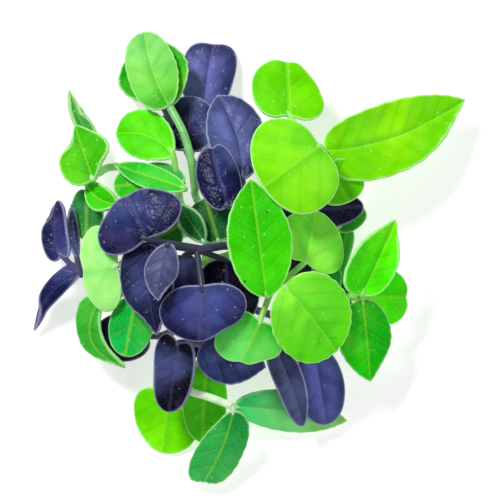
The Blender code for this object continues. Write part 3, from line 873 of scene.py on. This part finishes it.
# The lower purple seedling: one leaf hangs down, the other lies to the right with its edge curled up.
# A third one lies under them, painted nearly black as shade inside the heap. All three grow out of one
# short stem.
seedling(
    "purple_bottom",
    "purple",
    [(-6.9, -10.6, 9.2), (-5.8, -9.8, 6.0), (-4.6, -9.0, 2.6), (-1.6, -8.6, 0.33)],
    0x504E78,
    [
        Leaf("oval", (-8.8, -9.8), (-10.1, -19.3), 5.0, 4.3, 0x1A1420, cup=0.5, rise=0.3, quilt=0.14,
             lobes=(1, 1, 1, 1.1, 1, 1.35, 1.05, 1.05)),
        Leaf("true", (-6.2, -10.9), (1.7, -13.5), 6.2, 6.0, 0x5C6EB4, cup=0.7, bow=-0.6, quilt=0.14,
             lobes=(1, 1, 1, 1, 1, 1.15, 1, 1)),
        # Painted near black, as shade inside the heap.
        Leaf("oval", (-6.5, -9.6), (-6.4, -12.4), 3.8, 7.6, 0x101024, quilt=0.08),
    ],
)

# The purple seedling under the lower right: a long narrow leaf over a broader one.
# Both hang from a short stem under the round green leaf.
seedling(
    "purple_bottom_right",
    "purple",
    [(5.2, -10.5, 7.6), (4.6, -9.0, 4.0), (3.6, -7.6, 1.1), (0.8, -6.6, 0.33)],
    0x504E78,
    [
        Leaf("oval", (3.2, -11.0), (6.7, -21.1), 3.7, 5.2, 0x50547C, cup=0.2, bow=0.2,
             tip_shaded_tone=0x6C74A0, quilt=0.12, lobes=(1, 0.9, 1, 1.1, 1, 1.25, 1, 1)),
        Leaf("oval", (7.9, -11.0), (9.6, -21.0), 6.2, 6.3, 0x6068BC, quilt=0.1),
    ],
)

# The upper purple seedling: dark leaves on both sides of the arched stem, and a lighter one beyond it.
# They lie low, and their short stem runs down towards the middle of the heap.
seedling(
    "purple_top",
    "purple",
    [(-7.5, 12.5, 6.4), (-6.2, 10.6, 3.8), (-4.4, 9.4, 1.1), (-1.8, 9.0, 0.33)],
    0x504E78,
    [
        Leaf("oval", (-7.9, 12.9), (-7.3, 20.3), 7.0, 6.0, 0x202248, cup=-0.3, quilt=0.1),
        Leaf("oval", (-5.8, 18.2), (-4.6, 27.0), 6.7, 7.2, 0x6A6CB4, bow=0.2, quilt=0.1,
             lobes=(1.0, 1.18, 1, 1, 1, 1, 1, 1.22)),
        Leaf("oval", (-11.6, 20.7), (-16.5, 22.5), 3.2, 4.6, 0x24284C, quilt=0.08),
    ],
)

# A purple seedling above the middle: its true leaf bends down over the others, and painted light makes it
# paler at its tip.
# A dark seed leaf lies beside it, on the same short stem.
seedling(
    "purple_upper",
    "purple",
    [(-0.9, 8.2, 9.6), (-1.0, 7.4, 6.0), (-0.7, 6.8, 2.2), (1.6, 6.6, 0.33)],
    0x504E78,
    [
        Leaf("true", (-0.9, 9.6), (-4.0, 20.1), 7.3, 4.4, 0x3C4074, cup=0.4, bow=-0.8,
             tip_shaded_tone=0x727CBE, quilt=0.16, lobes=(0.98, 1.03, 1, 1, 1, 1, 1, 1.13)),
        Leaf("seed", (-2.4, 5.6), (-4.8, 14.2), 5.4, 3.0, 0x20285C, cup=-0.7, bow=0.3, quilt=0.08),
    ],
)

# The purple seedling at the far left: thin leaves that hang over the heap's edge.
# Two of them are young and narrow, and the lower one curls down to a point.
seedling(
    "purple_left",
    "purple",
    [(-21.2, -2.0, 4.8), (-18.6, -2.2, 2.8), (-15.4, -1.8, 1.0), (-10.6, -0.6, 0.33)],
    0x504E78,
    [
        Leaf("oval", (-23.4, -0.3), (-24.2, 7.2), 3.4, 4.3, 0x383C7C, cup=0.3, bow=0.7, quilt=0.1,
             lobes=(1, 0.65, 1, 1.25, 1, 1.1, 1, 1)),
        Leaf("young", (-21.6, -0.2), (-22.4, 6.6), 1.3, 4.7, 0x2C3058, tilt=0.4, bow=0.15, quilt=0.05),
        Leaf("young", (-21.2, -1.9), (-27.0, -9.0), 2.4, 5.0, 0x2A3274, cup=-0.3, curl=-0.8, bow=-1.35,
             quilt=0.08, lobes=(1, 0.75, 1, 1.2, 1, 1.5, 1, 0.65)),
    ],
)

# Two purple seed leaves that show between the green ones at the right.
# Their stem bends down and to the right, under the crown.
seedling(
    "purple_under_right",
    "purple",
    [(2.2, 4.6, 9.2), (1.5, 4.8, 7.0), (1.2, 4.6, 3.2), (3.2, 4.1, 0.8), (5.4, 3.6, 0.33)],
    0x504E78,
    [
        Leaf("oval", (2.7, 5.4), (14.2, 6.4), 4.8, 5.4, 0x302E64, cup=-0.3, quilt=0.08),
        # This lower leaf is painted near black, as shade inside the heap.
        Leaf("oval", (4.2, 3.0), (6.9, -4.2), 4.0, 7.0, 0x121428, quilt=0.08),
    ],
)

# One purple seed leaf, deep in the lower left, of which only the edge shows.
# Its stem runs down to the right and lies on the surface.
seedling(
    "purple_under_left",
    "purple",
    [(-11.2, -9.8, 5.6), (-8.6, -8.8, 3.0), (-6.0, -7.7, 1.0), (-2.2, -6.6, 0.33)],
    0x504E78,
    [
        Leaf("oval", (-12.1, -9.8), (-19.6, -10.0), 6.2, 6.6, 0x1E2048, quilt=0.08),
    ],
)
